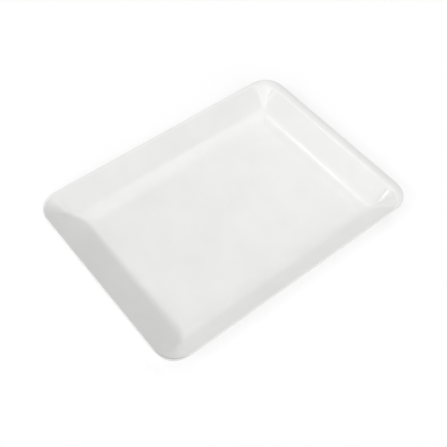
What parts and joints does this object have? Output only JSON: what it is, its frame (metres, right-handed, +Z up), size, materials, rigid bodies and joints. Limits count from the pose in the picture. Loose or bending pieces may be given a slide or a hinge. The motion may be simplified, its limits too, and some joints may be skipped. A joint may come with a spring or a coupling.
{
  "type": "foam food tray",
  "caption": "Shallow rectangular foam tray with sloping walls, rounded corners and a narrow rim, open at the top, for packing food.",
  "frame": {"origin": "on the supporting surface, under the middle of the tray", "axes": "+X along the long side, +Y along the short side, +Z up out of the hollow"},
  "size_m": [0.22, 0.16, 0.019],
  "materials": {
    "foam": "white expanded polystyrene foam with a smooth, slightly glossy skin"
  },
  "bodies": {
    "root": {"tray": "foam"}
  },
  "joints": []
}
